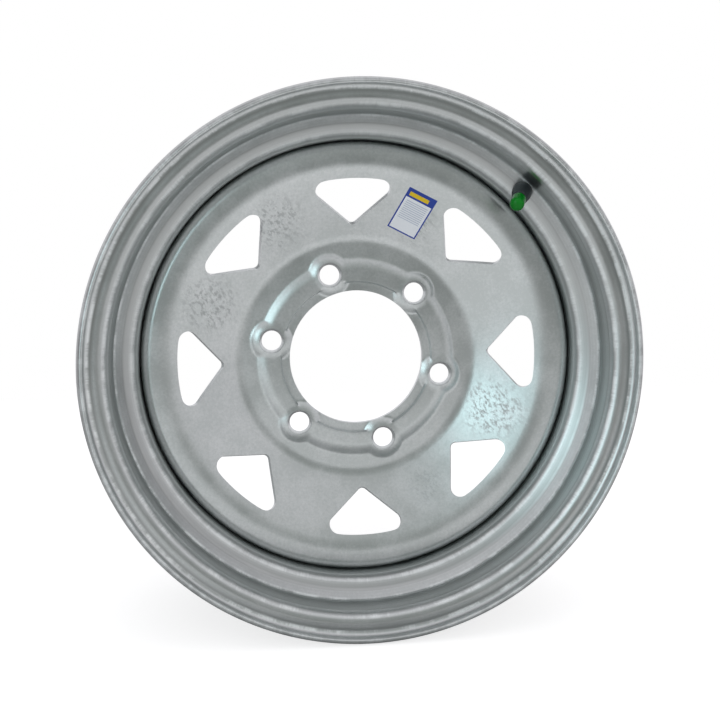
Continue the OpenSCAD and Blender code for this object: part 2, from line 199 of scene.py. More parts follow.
class ValveSizes(bpy.types.PropertyGroup):
    """Sizes of the snap-in valve, measured from the well wall along the valve."""
    place: angle("Place", "Angle of the valve around the wheel", 46.8)
    hole_radius: length("Hole", "Radius of the valve hole", 5.75)
    fit: length("Fit", "Clearance of the rubber at the hole and both faces", 0.12)
    collar_radius: length("Collar", "Radius of the rubber collar", 7.5)
    foot_radius: length("Foot", "Radius of the rubber foot on the tyre side", 8.8)
    foot_length: length("Foot length", "Length of the rubber foot", 10.5)
    body_length: length("Body length", "Length of the rubber body on the face side", 15)
    body_end_radius: length("Body end", "Radius of the rubber body at its free end", 5.8)
    tube_radius: length("Tube", "Radius of the brass tube in the rubber", 3.2)
    spring_wire: length("Spring wire", "Thickness of the core spring's wire", 0.24)
    spring_radius: length("Spring", "Radius of the core spring's coil", 0.8)
    spring_foot: length("Spring foot", "Place of the core spring's fixed end", 15.03)
    spring_length: length("Spring length", "Length of the core spring at rest", 9.24)
    spring_turns: bpy.props.IntProperty(name="Spring turns", description="Turns of the core spring",
                                        default=8)
    pin_stroke: length("Pin stroke", "Travel of the core pin against its spring", 1.2)


class LabelSizes(bpy.types.PropertyGroup):
    """Sizes of the printed paper label on the cone."""
    width: length("Width", "Width of the label", 24.6)
    height: length("Height", "Length of the label along the cone", 37)
    radius: length("Radius", "Wheel radius at the label's middle", 122.39)
    place: angle("Place", "Angle of the label around the wheel", 69.5)
    turn: angle("Turn", "Turn of the label from the radial direction", -6.3)
    paper: length("Paper", "Thickness of the label", 0.15)
    lift: length("Lift", "Glue under the label", 0.05)


class Finishes(bpy.types.PropertyGroup):
    """Colours of the materials and the stage."""
    zinc_light: colour("Light zinc", "Fresh zinc skin", "#E4E7E7")
    zinc_dark: colour("Dark zinc", "Weathered zinc skin", "#CCD1D0")
    # Pale colour of the ridges: partly worn zinc, partly painted highlight lines
    zinc_worn_and_highlight: colour("Worn zinc", "Pale worn ridges", "#F4F7F7")
    zinc_stain: colour("Zinc stain", "Dull stains and scuffs", "#B4B7B6")
    rubber: colour("Rubber", "Valve rubber", "#2C3437")
    brass: colour("Brass", "Valve brass", "#C79A55")
    plated: colour("Plated steel", "Core pin and spring", "#B9BBBC")
    cap_green: colour("Cap green", "Moulded cap", "#007E1C")
    paper: colour("Paper", "Label field", "#F1F3F8")
    print_blue: colour("Blue print", "Label border and header", "#1F3F9C")
    print_yellow: colour("Yellow print", "Bar in the label's header", "#E9C51F")
    print_grey: colour("Grey print", "Plain rules on the label", "#C4CBDA")
    floor: colour("Floor", "Plain pale floor", "#B2B2B2")
    room_front: colour("Room front", "Studio behind the camera", "#EEF2F0")
    room_side: colour("Room sides", "Sides of the studio", "#FAF8FC")
    key: colour("Key", "Key light", "#D2F5FB")


def deselect():
    """Leaves edit mode and clears the selection."""
    if bpy.context.object and bpy.context.object.mode != "OBJECT":
        bpy.ops.object.mode_set(mode="OBJECT")
    bpy.ops.object.select_all(action="DESELECT")


def unit(v):
    """The vector's direction, at length 1."""
    return v / v.length


def bend(before, corner, after):
    """Points of the arc that rounds one corner (x, y, radius) between its neighbours."""
    at = Vector(corner[:2])
    radius = corner[2]
    if radius == 0:
        return [at]
    back = unit(Vector(before[:2]) - at)
    on = unit(Vector(after[:2]) - at)
    half = math.acos(max(-1, min(1, back.dot(on)))) / 2
    middle = at + unit(back + on) * radius / math.sin(half)
    first = at + back * radius / math.tan(half) - middle
    start = math.atan2(first.y, first.x)
    turn = math.pi - 2 * half
    sweep = math.copysign(turn, on.x * back.y - on.y * back.x)
    steps = max(2, math.ceil(math.degrees(turn) / BEND_STEP))
    angles = [start + sweep * i / steps for i in range(steps + 1)]
    return [middle + radius * Vector((math.cos(a), math.sin(a))) for a in angles]


def rounded_path(corners):
    """An open path with its inner corners rounded."""
    points = [Vector(corners[0][:2])]
    for before, corner, after in zip(corners, corners[1:], corners[2:]):
        points += bend(before, corner, after)
    return points + [Vector(corners[-1][:2])]


def rounded_outline(corners):
    """A closed outline with its corners rounded."""
    points = []
    for i, corner in enumerate(corners):
        points += bend(corners[i - 1], corner, corners[(i + 1) % len(corners)])
    return points


def moved_right(corners, sheet):
    """The path moved to its right by the sheet's thickness, with bend radii to match."""
    flat = [Vector(c[:2]) for c in corners]
    last = len(corners) - 1
    moved = []
    for i, corner in enumerate(corners):
        into = unit(flat[max(i, 1)] - flat[max(i, 1) - 1])
        out = unit(flat[min(i, last - 1) + 1] - flat[min(i, last - 1)])
        side = Vector((-into.y - out.y, into.x + out.x)) / (1 + into.dot(out))
        turn = into.x * out.y - into.y * out.x
        radius = corner[2] + math.copysign(sheet, turn) if corner[2] else 0
        moved.append((*(flat[i] - side * sheet), radius))
    return moved


def round_end(first, last):
    """Half circle that closes a sheet's end between its two faces."""
    middle = (first + last) / 2
    arm = first - middle
    steps = 12
    points = []
    for i in range(1, steps):
        a = math.pi * i / steps
        points.append(middle + Vector((arm.x * math.cos(a) + arm.y * math.sin(a),
                                       arm.y * math.cos(a) - arm.x * math.sin(a))))
    return points


def spaced(points, gap_at):
    """The same closed outline with extra points, at most as far apart as gap_at gives for a radius."""
    dense = []
    for start, end in zip(points, points[1:] + points[:1]):
        steps = max(1, math.ceil((end - start).length / gap_at((start.x + end.x) / 2)))
        dense += [start.lerp(end, i / steps) for i in range(steps)]
    return dense


def draw_wire(name, points, closed):
    """A wire drawn point to point in the XZ plane by extruding one vertex; left in edit mode."""
    deselect()
    bpy.ops.mesh.primitive_plane_add(size=MM, location=(0, 0, 0))
    piece = bpy.context.object
    piece.name = piece.data.name = name
    bpy.ops.object.mode_set(mode="EDIT")
    bpy.ops.mesh.select_all(action="SELECT")
    bpy.ops.mesh.merge(type="CENTER")
    route = points + points[:1] if closed else points
    bpy.ops.transform.translate(value=(route[0].x, 0, route[0].y))
    for start, end in zip(route, route[1:]):
        step = (end.x - start.x, 0, end.y - start.y)
        bpy.ops.mesh.extrude_region_move(TRANSFORM_OT_translate={"value": step})
    bpy.ops.mesh.select_all(action="SELECT")
    bpy.ops.mesh.remove_doubles(threshold=1e-6)
    return piece


def spin(name, points, steps, closed=True):
    """A closed solid of revolution about Z, from an outline of radius and height."""
    piece = draw_wire(name, points, closed)
    bpy.ops.mesh.spin(steps=steps, angle=math.tau, center=(0, 0, 0), axis=(0, 0, 1))
    bpy.ops.mesh.select_all(action="SELECT")
    bpy.ops.mesh.remove_doubles(threshold=2e-6)
    bpy.ops.mesh.normals_make_consistent(inside=False)
    bpy.ops.object.mode_set(mode="OBJECT")
    return piece


def pick(piece):
    """Selects one piece alone and makes it active."""
    deselect()
    piece.select_set(True)
    bpy.context.view_layer.objects.active = piece


def settle(piece, place):
    """Puts a piece in its place and applies it, so that its object sits at the origin."""
    pick(piece)
    piece.matrix_world = place
    bpy.ops.object.transform_apply(location=True, rotation=True, scale=True)


def apply_modifier(piece, kind, **settings):
    """Adds one modifier with its settings and applies it."""
    pick(piece)
    bpy.ops.object.modifier_add(type=kind)
    modifier = piece.modifiers[-1]
    for key, value in settings.items():
        setattr(modifier, key, value)
    bpy.ops.object.modifier_apply(modifier=modifier.name)


def cut_away(piece, cutters):
    """Subtracts the joined cutters from a piece and deletes them."""
    deselect()
    for cutter in cutters:
        cutter.select_set(True)
    bpy.context.view_layer.objects.active = cutters[0]
    if len(cutters) > 1:
        bpy.ops.object.join()
    apply_modifier(piece, "BOOLEAN", operation="DIFFERENCE", solver="EXACT", object=cutters[0])
    bpy.data.objects.remove(cutters[0])


def smooth(piece):
    """Smooth shading with the sharp corners kept."""
    pick(piece)
    bpy.ops.object.shade_smooth_by_angle(angle=CREASE)


def finish_piece(piece, material, slot, body, *replaced):
    """Gives a piece its material and body, and hides the nodes that it stands for; the slot is not used."""
    piece.data.materials.clear()
    piece.data.materials.append(material)
    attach(piece, body)
    if replaced:
        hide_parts(*replaced)


def dress_node(name, material):
    """Gives a CAD node that keeps its own shape a material."""
    mesh = NODES[name].data
    mesh.materials.clear()
    mesh.materials.append(material)


def barrel_levels(b):
    """Heights and radii of the barrel's corners on the tyre side."""
    seat_end_radius = b.bead_radius - b.seat_width * math.tan(b.seat_taper)
    seat_end = b.width / 2 - b.seat_width
    hump = seat_end - b.hump_flank
    wall_top = hump - b.hump_flank
    well_radius = b.bead_radius - b.well_depth
    drop = seat_end_radius - well_radius
    return seat_end_radius, seat_end, hump, wall_top, well_radius, drop


def valve_place(scene):
    """Matrix of the valve's seat on the front well wall, with z along the valve."""
    b = scene.barrel_sizes
    seat_end_radius, _, _, wall_top, _, drop = barrel_levels(b)
    top_run = b.wall_top_bend * math.tan((math.pi / 2 - b.wall_slope) / 2)
    foot_run = b.wall_foot_bend * math.tan(b.wall_slope / 2)
    along = (top_run + drop / math.sin(b.wall_slope) - foot_run) / 2
    radius = seat_end_radius - along * math.sin(b.wall_slope) - b.sheet * math.cos(b.wall_slope)
    height = wall_top - along * math.cos(b.wall_slope) + b.sheet * math.sin(b.wall_slope)
    around = Matrix.Rotation(scene.valve_sizes.place, 4, "Z")
    lean = Matrix.Rotation(b.wall_slope - math.pi / 2, 4, "Y")
    return UPRIGHT @ around @ Matrix.Translation((radius, 0, height)) @ lean


def cone_height(d, radius):
    """Height of the cone's face above the mounting face at a wheel radius."""
    return d.sheet + (radius - d.hub_radius) * math.tan(d.cone_slope)


def on_cone(d, radius):
    """Matrix of a place on the cone's face, with x up the slope and z out of the face."""
    lean = Matrix.Rotation(-d.cone_slope, 4, "Y")
    return Matrix.Translation((radius, 0, cone_height(d, radius))) @ lean


def add_node(tree, kind, inputs=(), output=0, **settings):
    """Adds a node with its settings, sets or links its inputs, and returns one output if it has any."""
    made = tree.nodes.new(kind)
    for key, value in settings.items():
        setattr(made, key, value)
    for key, value in inputs.items() if isinstance(inputs, dict) else enumerate(inputs):
        if isinstance(value, bpy.types.NodeSocket):
            tree.links.new(value, made.inputs[key])
        else:
            made.inputs[key].default_value = value
    return made.outputs[output] if made.outputs else made


def per_mm(size):
    """Texture scale whose features are about this many millimetres across."""
    return 1 / (size * MM)


def new_material(name):
    """An empty node material with a principled shader; returns it with its tree and shader."""
    material = bpy.data.materials.new(name)
    material.use_nodes = True
    tree = material.node_tree
    shader = tree.nodes["Principled BSDF"]
    return material, tree, shader


def solid(rgb):
    """A colour property as a socket value."""
    return (*rgb, 1)


def wheel_polar(tree, where):
    """The place as seen along the axle, and its radius from the axle."""
    flat = add_node(tree, VECTOR, [where, (1, 0, 1)], operation="MULTIPLY")
    return flat, add_node(tree, VECTOR, [flat], output=1, operation="LENGTH")


def zinc_skin(tree, shader, finishes, satin, clouds):
    """Zinc skin: clouded satin grey with a fine grain; returns the sockets that finishes build on."""
    where = add_node(tree, PLACE, output="Object")
    drift = add_node(tree, NOISE, {"Vector": where, "Scale": per_mm(clouds), "Detail": 6.0, "Roughness": 0.6})
    cloud = add_node(tree, RANGE, [drift, 0.36, 0.64, 0.0, 1.0], **SOFT)
    grain = add_node(tree, NOISE, {"Vector": where, "Scale": per_mm(2.2), "Detail": 5.0, "Roughness": 0.7})
    fleck = add_node(tree, RANGE, [grain, 0.3, 0.7, -0.4, 0.4])
    tone = add_node(tree, MATH, [cloud, 0.6, fleck], operation="MULTIPLY_ADD")
    skin = add_node(tree, MIX, {0: tone, 6: solid(finishes.zinc_dark), 7: solid(finishes.zinc_light)},
                    **COLOURS)
    matt = add_node(tree, MATH, [cloud, 0.06, satin], operation="MULTIPLY_ADD")
    shader.inputs["Metallic"].default_value = 1.0
    return where, skin, matt, grain


def join_skin(tree, shader, skin, matt, relief):
    """Links a finished zinc skin to its shader."""
    bump = add_node(tree, BUMP, {"Strength": 0.2, "Distance": 0.02 * MM, "Height": relief})
    tree.links.new(skin, shader.inputs["Base Color"])
    tree.links.new(matt, shader.inputs["Roughness"])
    tree.links.new(bump, shader.inputs["Normal"])


def galvanised_barrel(scene):
    """Rolled sheet dipped in zinc: satin grey in fine rolled bands, with its ridges painted pale, partly as
    worn zinc and partly as painted highlight lines.
    """
    b, finishes = scene.barrel_sizes, scene.finishes
    material, tree, shader = new_material("galvanised_barrel")
    where, skin, matt, relief = zinc_skin(tree, shader, finishes, 0.29, 30)
    flat, radius = wheel_polar(tree, where)
    outward = add_node(tree, VECTOR, [flat], operation="NORMALIZE")
    along = add_node(tree, MATH, [add_node(tree, SPLIT, [where], output=1)], operation="ABSOLUTE")
    section = add_node(tree, "ShaderNodeCombineXYZ", [radius, along, 0.0])
    bands = add_node(tree, NOISE, {"Vector": section, "Scale": per_mm(4), "Detail": 3.0})
    banded = add_node(tree, RANGE, [bands, 0.35, 0.65, 0.3, 1.0], **SOFT)
    skin = add_node(tree, MIX, {0: banded, 6: skin, 7: solid(finishes.zinc_stain)}, **COLOURS)
    seat_end_radius, _, _, wall_top, well_radius, drop = barrel_levels(b)
    wall_foot = wall_top - drop / math.tan(b.wall_slope)
    lip = b.bead_radius + b.flange_height
    # Each pale ridge, partly worn zinc and partly a painted highlight line: its wheel radius, its distance
    # from the middle plane, its reach and its paleness
    ridges = (
        (b.bead_radius, b.width / 2, 1.2 * MM, 0.9),
        (lip - b.curl + 1.6 * MM, b.width / 2 + b.sheet, 0.9 * MM, 1.0),
        (lip - 4 * MM, b.width / 2 + b.curl + 5.6 * MM, 2.4 * MM, 0.5),
        (seat_end_radius - b.sheet, wall_top + 1.5 * MM, 0.9 * MM, 0.9),
        (well_radius, wall_foot + 4 * MM, 1.6 * MM, 0.7))
    worn_and_highlit = 0.0
    for at_radius, at_along, reach, paleness in ridges:
        away = add_node(tree, VECTOR, [section, (at_radius, at_along, 0)], output=1, operation="DISTANCE")
        near = add_node(tree, RANGE, [away, 2.4 * reach, 0.2 * reach, 0.0, paleness], **SOFT)
        worn_and_highlit = add_node(tree, MATH, [worn_and_highlit, near], operation="MAXIMUM")
    # The pale ridges break into short strokes, drawn coarser than real so that they show; they are paler at
    # the left and right sides, and that extra paleness is painted highlight
    strokes = add_node(tree, VECTOR, {0: outward, 3: b.bead_radius}, operation="SCALE")
    hatch = add_node(tree, NOISE, {"Vector": strokes, "Scale": per_mm(1.8), "Detail": 5.0, "Roughness": 0.75})
    patch = add_node(tree, NOISE, {"Vector": where, "Scale": per_mm(18), "Detail": 4.0, "Roughness": 0.6})
    broken = add_node(tree, MATH, [hatch, 0.5, patch], operation="MULTIPLY_ADD")
    broken = add_node(tree, RANGE, [broken, 0.66, 0.88, 0.25, 1.0], **SOFT)
    sideways = add_node(tree, MATH, [add_node(tree, SPLIT, [outward])], operation="ABSOLUTE")
    side_highlight = add_node(tree, RANGE, [sideways, 0.3, 0.9, 0.65, 1.0])
    broken = add_node(tree, MATH, [broken, side_highlight], operation="MULTIPLY")
    worn_and_highlit = add_node(tree, MATH, [worn_and_highlit, broken], operation="MULTIPLY")
    # Painted highlight lines and worn zinc: the ridges turn pale, a little rougher and less metallic
    skin = add_node(tree, MIX, {0: worn_and_highlit, 6: skin, 7: solid(finishes.zinc_worn_and_highlight)}, **COLOURS)
    matt = add_node(tree, MATH, [worn_and_highlit, 0.1, matt], operation="MULTIPLY_ADD")
    bare_and_highlit = add_node(tree, MATH, [worn_and_highlit, -0.75, 1.0], operation="MULTIPLY_ADD")
    tree.links.new(bare_and_highlit, shader.inputs["Metallic"])
    join_skin(tree, shader, skin, matt, relief)
    return material


def galvanised_disc(scene):
    """Pressed plate dipped in zinc: satin grey, scuffed aslant on some spokes."""
    d, finishes = scene.disc_sizes, scene.finishes
    material, tree, shader = new_material("galvanised_disc")
    where, skin, matt, relief = zinc_skin(tree, shader, finishes, 0.29, 38)
    flat, radius = wheel_polar(tree, where)
    # Each scuffed spoke: angle in degrees, wheel radius and reach in millimetres
    scuffed = ((120, 123, 30), (159, 124, 30), (-21, 119, 34), (66, 116, 22), (-62, 118, 20))
    spokes = 0.0
    for turn, middle, reach in scuffed:
        spot = Vector((math.cos(math.radians(turn)), 0, math.sin(math.radians(turn)))) * middle * MM
        away = add_node(tree, VECTOR, [flat, spot], output=1, operation="DISTANCE")
        near = add_node(tree, RANGE, [away, reach * MM, 0.3 * reach * MM, 0.0, 1.0], **SOFT)
        spokes = add_node(tree, MATH, [spokes, near], operation="MAXIMUM")
    off_hub = add_node(tree, RANGE, [radius, d.hub_radius, d.hub_radius + 3 * MM, 0.0, 1.0], **SOFT)
    spokes = add_node(tree, MATH, [spokes, off_hub], operation="MULTIPLY")
    aslant = add_node(tree, "ShaderNodeMapping", {"Vector": where, "Rotation": (0, math.radians(-42), 0),
                                                  "Scale": (1, 1, 10)}, vector_type="TEXTURE")
    streaks = add_node(tree, NOISE, {"Vector": aslant, "Scale": per_mm(2), "Detail": 5.0, "Roughness": 0.7})
    flecks = add_node(tree, NOISE, {"Vector": where, "Scale": per_mm(3), "Detail": 6.0, "Roughness": 0.75})
    marks = add_node(tree, MATH, [flecks, 0.6, streaks], operation="MULTIPLY_ADD")
    marks = add_node(tree, RANGE, [marks, 0.78, 0.9, 0.0, 1.0], **SOFT)
    scuff = add_node(tree, MATH, [marks, spokes], operation="MULTIPLY")
    dulled = add_node(tree, MATH, [scuff, 0.45], operation="MULTIPLY")
    skin = add_node(tree, MIX, {0: dulled, 6: skin, 7: solid(finishes.zinc_stain)}, **COLOURS)
    matt = add_node(tree, MATH, [scuff, 0.22, matt], operation="MULTIPLY_ADD")
    join_skin(tree, shader, skin, matt, add_node(tree, MATH, [scuff, 0.5, relief], operation="MULTIPLY_ADD"))
    return material


def galvanised_weld(scene):
    """Zinc over a weld bead: dull and rippled."""
    material, tree, shader = new_material("galvanised_weld")
    where, skin, matt, relief = zinc_skin(tree, shader, scene.finishes, 0.5, 12)
    ripple = add_node(tree, NOISE, {"Vector": where, "Scale": per_mm(3), "Detail": 2.0})
    join_skin(tree, shader, skin, matt, add_node(tree, MATH, [ripple, 3.0, relief], operation="MULTIPLY_ADD"))
    return material


def mottle(tree, shader, rgb, size, detail, deepest):
    """Colours a small piece in mottles of a size in millimetres, the deepest at a share of its colour."""
    where = add_node(tree, PLACE, output="Object")
    mottles = add_node(tree, NOISE, {"Vector": where, "Scale": per_mm(size), "Detail": detail})
    deep = [c * deepest for c in rgb]
    tint = add_node(tree, MIX, {0: mottles, 6: solid(deep), 7: solid(rgb)}, **COLOURS)
    tree.links.new(tint, shader.inputs["Base Color"])
    return mottles


def moulded_rubber(name, finishes):
    """Cured rubber: near black, soft sheen, faint mould texture."""
    material, tree, shader = new_material(name)
    dust = mottle(tree, shader, finishes.rubber, 3, 4.0, 0.7)
    bump = add_node(tree, BUMP, {"Strength": 0.3, "Distance": 0.05 * MM, "Height": dust})
    tree.links.new(bump, shader.inputs["Normal"])
    shader.inputs["Roughness"].default_value = 0.5
    shader.inputs["IOR"].default_value = 1.52
    return material


def turned_metal(name, rgb, roughness):
    """Turned or drawn metal: bright, with fine tool marks."""
    material, tree, shader = new_material(name)
    marks = mottle(tree, shader, rgb, 0.5, 2.0, 0.85)
    bump = add_node(tree, BUMP, {"Strength": 0.15, "Distance": 0.02 * MM, "Height": marks})
    tree.links.new(bump, shader.inputs["Normal"])
    shader.inputs["Metallic"].default_value = 1.0
    shader.inputs["Roughness"].default_value = roughness
    return material


def moulded_cap(finishes):
    """Injection-moulded polythene: bright green, half gloss, slightly uneven."""
    material, tree, shader = new_material("moulded_cap")
    flow = mottle(tree, shader, finishes.cap_green, 4, 3.0, 0.75)
    bump = add_node(tree, BUMP, {"Strength": 0.1, "Distance": 0.04 * MM, "Height": flow})
    tree.links.new(bump, shader.inputs["Normal"])
    shader.inputs["Roughness"].default_value = 0.2
    shader.inputs["Specular IOR Level"].default_value = 0.25
    shader.inputs["IOR"].default_value = 1.51
    return material


def moulded_gasket(finishes):
    """Pressed fluoroplastic: milky white, waxy."""
    material, tree, shader = new_material("moulded_gasket")
    mottle(tree, shader, finishes.paper, 1, 2.0, 0.8)
    shader.inputs["Roughness"].default_value = 0.45
    return material


def printed_label(finishes):
    """Coated paper: white field with a blue border and header, a plain bar and pale rules."""
    material, tree, shader = new_material("printed_label")
    place = add_node(tree, SPLIT, [add_node(tree, "ShaderNodeUVMap")]).node
    up, across = place.outputs[0], place.outputs[1]
    ruled = add_node(tree, MATH, [up, RULES_PER_LABEL], operation="MULTIPLY")
    ruled = add_node(tree, MATH, [ruled], operation="FRACT")
    rules = add_node(tree, MATH, [ruled, 0.55], operation="GREATER_THAN")
    # Each printed patch: its lowest and highest share of the label's height and width, mask and colour
    patches = (
        (0.03, 0.97, 0.045, 0.955, 1.0, finishes.paper),
        (0.3, 0.74, 0.12, 0.88, rules, finishes.print_grey),
        (0.79, 2.0, -1.0, 2.0, 1.0, finishes.print_blue),
        (0.835, 0.925, 0.22, 0.9, 1.0, finishes.print_yellow))
    ink = solid(finishes.print_blue)
    for low, high, left, right, mask, rgb in patches:
        for value, limit, test in ((up, low, "GREATER_THAN"), (up, high, "LESS_THAN"),
                                   (across, left, "GREATER_THAN"), (across, right, "LESS_THAN")):
            inside = add_node(tree, MATH, [value, limit], operation=test)
            mask = add_node(tree, MATH, [mask, inside], operation="MULTIPLY")
        ink = add_node(tree, MIX, {0: mask, 6: ink, 7: solid(rgb)}, **COLOURS)
    tree.links.new(ink, shader.inputs["Base Color"])
    shader.inputs["Roughness"].default_value = 0.4
    return material


class RIM_OT_barrel(bpy.types.Operator):
    """Spin the rolled barrel from its sheet section and drill the valve hole"""
    bl_idname = "rim.barrel"
    bl_label = "Rim barrel"

    def execute(self, context):
        b = context.scene.barrel_sizes
        v = context.scene.valve_sizes
        seat_end_radius, seat_end, hump, wall_top, well_radius, drop = barrel_levels(b)
        lip = b.bead_radius + b.flange_height
        curl_height = b.width / 2 + b.curl
        half = [
            (lip - b.curl + b.curl * math.cos(b.curl_past), curl_height + b.curl * math.sin(b.curl_past), 0),
            (lip, curl_height + b.curl * math.tan(b.curl_past / 2), b.curl),
            (lip, b.width / 2, b.curl),
            (b.bead_radius, b.width / 2, b.heel),
            (seat_end_radius, seat_end, b.hump_bend),
            (seat_end_radius + b.hump_height, hump, b.hump_bend)]
        ramp_top = b.ledge - hump
        wall_foot = wall_top - drop / math.tan(b.wall_slope)
        sagged = ((seat_end_radius + well_radius) / 2 + b.wall_sag * math.cos(b.wall_slope),
                  (wall_top + wall_foot) / 2 - b.wall_sag * math.sin(b.wall_slope), b.wall_round)
        well = [
            (seat_end_radius, wall_top, b.wall_top_bend),
            sagged,
            (well_radius, wall_foot, b.wall_foot_bend),
            (well_radius, ramp_top + drop / math.tan(b.ramp_slope), b.ramp_bend),
            (seat_end_radius, ramp_top, b.ramp_bend)]
        path = half + well + [(r, -h, bend_radius) for r, h, bend_radius in reversed(half)]
        tyre_side = rounded_path(path)
        inner_side = rounded_path(moved_right(path, b.sheet))[::-1]
        outline = tyre_side + round_end(tyre_side[-1], inner_side[0])
        outline += inner_side + round_end(inner_side[-1], tyre_side[0])
        barrel = spin("rolled_barrel", outline, WHEEL_STEPS)
        settle(barrel, UPRIGHT)
        deselect()
        bpy.ops.mesh.primitive_cylinder_add(vertices=SMALL_STEPS, radius=v.hole_radius, depth=6 * b.sheet)
        drill = context.object
        settle(drill, valve_place(context.scene))
        cut_away(barrel, [drill])
        smooth(barrel)
        finish_piece(barrel, galvanised_barrel(context.scene), "galvanised_steel", WHEEL_BODY, "rim_barrel")
        return {"FINISHED"}


def soft_step(value, foot, top):
    """0 at the foot and 1 at the top, with a soft start and end."""
    t = max(0, min(1, (value - foot) / (top - foot)))
    return t * t * (3 - 2 * t)


def rolled(value, foot, top):
    """0 at the foot and 1 at the top, steep at the foot and rounded off at the top."""
    t = max(0, min(1, (value - foot) / (top - foot)))
    return 1 - (1 - t) ** FOOT_POWER


def emboss_height(d, x, y):
    """Height of the pressed ring and stud bosses at a place on the hub plate."""
    radius = math.hypot(x, y)
    ring = soft_step(radius, d.ring_inner, d.ring_inner + d.ring_step)
    ring *= rolled(radius, d.ring_outer, d.ring_outer - d.ring_flank)
    share = math.tau / STUDS
    turn = (math.atan2(y, x) - d.stud_start + share / 2) % share - share / 2
    away = math.hypot(radius * math.cos(turn) - d.stud_circle, radius * math.sin(turn))
    boss = rolled(away, d.boss_radius, d.boss_radius - d.boss_flank)
    ring = (ring * d.ring_height) ** MEET_POWER
    boss = (boss * d.boss_height) ** MEET_POWER
    return (ring + boss) ** (1 / MEET_POWER)


def press_hub(disc, d):
    """Presses the emboss into the spun disc, front and back alike."""
    relief = disc.vertex_groups.new(name="relief")
    for vertex in disc.data.vertices:
        height = emboss_height(d, vertex.co.x, vertex.co.y)
        if height > 0:
            relief.add([vertex.index], height / (2 * d.boss_height), "REPLACE")
    apply_modifier(disc, "DISPLACE", direction="Z", strength=2 * d.boss_height, mid_level=0,
                   vertex_group=relief.name)
    disc.vertex_groups.clear()


def window_cutter(d):
    """One window's rounded triangle, as a prism square to the cone."""
    slope = math.cos(d.cone_slope)
    tip = d.window_inner / slope - d.window_tip * (1 / math.sin(d.window_side) - 1)
    arc = d.window_outer / slope
    side = math.sqrt(arc ** 2 - (tip * math.sin(d.window_side)) ** 2) - tip * math.cos(d.window_side)
    corner = math.asin(side * math.sin(d.window_side) / arc)
    steps = 8
    turns = [corner * i / steps for i in range(-steps // 2, steps // 2 + 1)]
    edge = [(arc * math.cos(a), arc * math.sin(a), 0) for a in turns]
    corners = [(tip, 0, d.window_tip), (arc * math.cos(corner), -arc * math.sin(corner), d.window_corner)]
    corners += edge + [(arc * math.cos(corner), arc * math.sin(corner), d.window_corner)]
    prism = draw_wire("window_cutter", rounded_outline(corners), closed=True)
    bpy.ops.mesh.edge_face_add()
    bpy.ops.mesh.extrude_region_move(TRANSFORM_OT_translate={"value": (0, 4 * d.sheet, 0)})
    bpy.ops.mesh.select_all(action="SELECT")
    bpy.ops.mesh.normals_make_consistent(inside=False)
    bpy.ops.object.mode_set(mode="OBJECT")
    middle = (d.window_inner + d.window_outer) / 2
    lay_flat = Matrix.Rotation(math.radians(-90), 4, "X")
    settle(prism, on_cone(d, middle) @ Matrix.Translation((-middle / slope, 0, 2 * d.sheet)) @ lay_flat)
    return prism


def copies_around(piece, count, start):
    """Copies at equal turns about the axle, each with its own mesh; the piece itself comes last."""
    made = []
    for i in range(count):
        item = piece if i == count - 1 else piece.copy()
        if item is not piece:
            item.data = piece.data.copy()
            bpy.context.scene.collection.objects.link(item)
        settle(item, Matrix.Rotation(start + math.tau * i / count, 4, "Z"))
        made.append(item)
    return made


class RIM_OT_disc(bpy.types.Operator):
    """Spin the dished disc, press the hub emboss and cut the windows and stud holes"""
    bl_idname = "rim.disc"
    bl_label = "Wheel disc"

    def execute(self, context):
        d = context.scene.disc_sizes
        crest_foot = d.hub_radius + (d.crest_height - d.sheet) / math.tan(d.cone_slope)
        path = [
            (d.bore_radius, d.sheet, 0),
            (d.hub_radius, d.sheet, d.hub_bend),
            (crest_foot, d.crest_height, d.crest_bend),
            (d.outer_radius, d.crest_height, d.shoulder),
            (d.outer_radius, d.flange_edge, 0)]

        def gap_at(radius):
            if abs(radius - d.ring_inner - d.ring_step / 2) < 2 * d.ring_step:
                return STEP_GAP
            return HUB_GAP if radius < d.ring_outer + 2 * MM else WIDE_GAP

        face = rounded_path(path)
        back = rounded_path(moved_right(path, d.sheet))[::-1]
        disc = spin(DISC, spaced(face + back, gap_at), WHEEL_STEPS)
        press_hub(disc, d)
        top = d.sheet + d.boss_height
        over = 2 * MM
        mouth = d.stud_radius + (d.nut_seat + over) * math.tan(NUT_CONE)
        hole = [Vector((0, -top)), Vector((d.stud_radius, -top)), Vector((d.stud_radius, top - d.nut_seat)),
                Vector((mouth, top + over)), Vector((0, top + over))]
        drill = spin("stud_cutter", hole, SMALL_STEPS, closed=False)
        settle(drill, Matrix.Translation((d.stud_circle, 0, 0)))
        cutters = copies_around(drill, STUDS, d.stud_start)
        cutters += copies_around(window_cutter(d), WINDOWS, d.window_start)
        cut_away(disc, cutters)
        settle(disc, UPRIGHT)
        smooth(disc)
        finish_piece(disc, galvanised_disc(context.scene), "galvanised_steel", WHEEL_BODY, "wheel_disc")
        return {"FINISHED"}


class RIM_OT_welds(bpy.types.Operator):
    """Finish the weld beads behind the disc"""
    bl_idname = "rim.welds"
    bl_label = "Weld beads"

    def execute(self, context):
        dress_node("disc_welds", galvanised_weld(context.scene))
        return {"FINISHED"}


